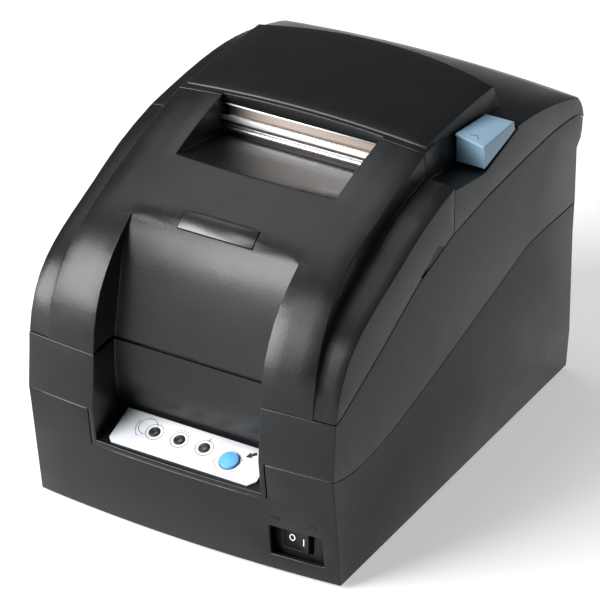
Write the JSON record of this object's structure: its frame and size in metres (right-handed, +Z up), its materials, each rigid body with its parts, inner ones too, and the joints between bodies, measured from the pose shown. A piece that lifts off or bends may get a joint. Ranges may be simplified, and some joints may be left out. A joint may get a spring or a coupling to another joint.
{
  "type": "impact receipt printer",
  "caption": "Compact dot matrix receipt printer with hinged ribbon and paper-roll covers, a cover-open lever, a feed button, a power rocker and a moving print head.",
  "frame": {"origin": "middle of the underside, on the plane of the rubber feet", "axes": "+Z up, +X to the printer's right as seen from its front, +Y towards its back"},
  "size_m": [0.152, 0.2283, 0.169],
  "materials": {
    "case_plastic": "fine-grained charcoal moulded plastic",
    "dark_plastic": "plain black moulded plastic",
    "plate_black": "bare satin black plate",
    "bar_steel": "bright stamped steel",
    "steel": "bright steel",
    "zinc_plate": "zinc-plated steel and die casting",
    "strip_metal": "warm grey satin metal",
    "label_white": "printed pale grey film",
    "lamp_dark": "dark translucent lens, unlit",
    "button_blue": "smooth blue plastic",
    "lever_blue": "pale grey-blue plastic",
    "rubber_black": "black rubber",
    "gear_white": "natural acetal",
    "knob_blue": "blue plastic",
    "pinion_brass": "turned brass",
    "ribbon_fabric": "inked nylon",
    "board_green": "green solder mask"
  },
  "bodies": {
    "root": {"lower_case": "case_plastic", "upper_case": "case_plastic", "rear_hinge_pin": "steel", "rubber_feet": "rubber_black", "case_screws": "steel", "control_label": "label_white", "lamp_left": "lamp_dark", "lamp_middle": "lamp_dark", "lamp_right": "lamp_dark", "control_board": "board_green", "switch_housing": "dark_plastic", "tear_bar": "bar_steel", "guide_bar": "zinc_plate", "mech_frame": "zinc_plate", "carriage_shaft": "steel", "guide_rail": "steel", "carriage_belt": "rubber_black", "carriage_motor": "zinc_plate", "ribbon_cartridge": "dark_plastic", "ribbon_band": "ribbon_fabric", "paper_motor": "zinc_plate", "gear_studs": "steel", "roll_cradle": "dark_plastic", "near_end_sensor": "dark_plastic", "cover_switch": "dark_plastic", "main_board": "board_green", "interface_board": "board_green", "interface_connector": "steel", "power_inlet": "dark_plastic", "drawer_jack": "dark_plastic", "board_screws": "steel"},
    "front_lid": {"front_cover": "case_plastic", "front_hinge_arms": "dark_plastic", "name_plate": "plate_black"},
    "rear_lid": {"rear_cover": "case_plastic", "lever_pin": "steel", "lever_spring": "steel", "paper_strip": "strip_metal", "platen_bar": "steel"},
    "lever": {"open_lever": "lever_blue"},
    "latch": {"latch_hooks": "dark_plastic"},
    "rocker": {"power_rocker": "dark_plastic"},
    "button": {"feed_button": "button_blue"},
    "head_carriage": {"carriage": "dark_plastic", "print_head": "zinc_plate"},
    "belt_drive": {"drive_pulley": "gear_white"},
    "belt_idler": {"idler_pulley": "gear_white"},
    "feed": {"feed_roller": "rubber_black", "feed_shaft": "steel", "feed_gear": "gear_white"},
    "gear_upper": {"upper_idler_gear": "gear_white"},
    "gear_lower": {"lower_idler_gear": "gear_white"},
    "pinion": {"motor_pinion": "pinion_brass"},
    "pinch": {"pinch_rollers": "rubber_black", "pinch_shaft": "steel"},
    "knob": {"ribbon_knob": "knob_blue"}
  },
  "joints": [
    {"name": "front_cover_hinge", "type": "hinge", "parent": "root", "child": "front_lid", "pos_m": [0, -0.10281, 0.064], "axis": [1, 0, 0], "range_deg": [0, 75]},
    {"name": "rear_cover_hinge", "type": "hinge", "parent": "root", "child": "rear_lid", "pos_m": [0, 0.10469, 0.108], "axis": [-1, 0, 0], "range_deg": [0, 85]},
    {"name": "lever_hinge", "type": "hinge", "parent": "rear_lid", "child": "lever", "pos_m": [0.068, 0.04379, 0.1536], "axis": [-1, 0, 0], "range_deg": [0, 18], "stiffness_Nm_per_rad": 0.05},
    {"name": "latch_hinge", "type": "hinge", "parent": "rear_lid", "child": "latch", "pos_m": [0, 0.03319, 0.1425], "axis": [-1, 0, 0], "range_deg": [0, 18]},
    {"name": "rocker_hinge", "type": "hinge", "parent": "root", "child": "rocker", "pos_m": [0.0546, -0.09941, 0.018], "axis": [0, 0, 1], "range_deg": [0, 16]},
    {"name": "feed_button_slide", "type": "slide", "parent": "root", "child": "button", "axis": [0, 0.3746, -0.9272], "range_m": [0, 0.0008], "stiffness_N_per_m": 600},
    {"name": "carriage_slide", "type": "slide", "parent": "root", "child": "head_carriage", "axis": [1, 0, 0], "range_m": [-0.028, 0.028]},
    {"name": "drive_pulley_spin", "type": "hinge", "parent": "root", "child": "belt_drive", "pos_m": [-0.043, -0.04781, 0.082], "axis": [0, 0, 1], "range_deg": [-300, 300]},
    {"name": "idler_pulley_spin", "type": "hinge", "parent": "root", "child": "belt_idler", "pos_m": [0.043, -0.04781, 0.082], "axis": [0, 0, 1], "range_deg": [-300, 300]},
    {"name": "feed_roller_spin", "type": "hinge", "parent": "root", "child": "feed", "pos_m": [0, -0.01141, 0.134], "axis": [1, 0, 0], "continuous": true},
    {"name": "upper_idler_spin", "type": "hinge", "parent": "root", "child": "gear_upper", "pos_m": [0.0615, -0.01141, 0.10668], "axis": [1, 0, 0], "continuous": true},
    {"name": "lower_idler_spin", "type": "hinge", "parent": "root", "child": "gear_lower", "pos_m": [0.0615, -0.01141, 0.07456], "axis": [1, 0, 0], "continuous": true},
    {"name": "motor_pinion_spin", "type": "hinge", "parent": "root", "child": "pinion", "pos_m": [0.0615, -0.01141, 0.05364], "axis": [1, 0, 0], "continuous": true},
    {"name": "pinch_roller_spin", "type": "hinge", "parent": "rear_lid", "child": "pinch", "pos_m": [0, -0.00071, 0.134], "axis": [1, 0, 0], "continuous": true},
    {"name": "ribbon_knob_spin", "type": "hinge", "parent": "root", "child": "knob", "pos_m": [-0.038, -0.05981, 0.132], "axis": [0, 0, 1], "continuous": true}
  ],
  "couplings": [
    {"joint": "drive_pulley_spin", "follows": "carriage_slide", "rad_per_m": -163.93},
    {"joint": "idler_pulley_spin", "follows": "carriage_slide", "rad_per_m": -163.93},
    {"joint": "upper_idler_spin", "follows": "feed_roller_spin", "ratio": -0.7},
    {"joint": "lower_idler_spin", "follows": "feed_roller_spin", "ratio": 0.7},
    {"joint": "motor_pinion_spin", "follows": "feed_roller_spin", "ratio": -2.3333},
    {"joint": "latch_hinge", "follows": "lever_hinge", "ratio": 1}
  ]
}
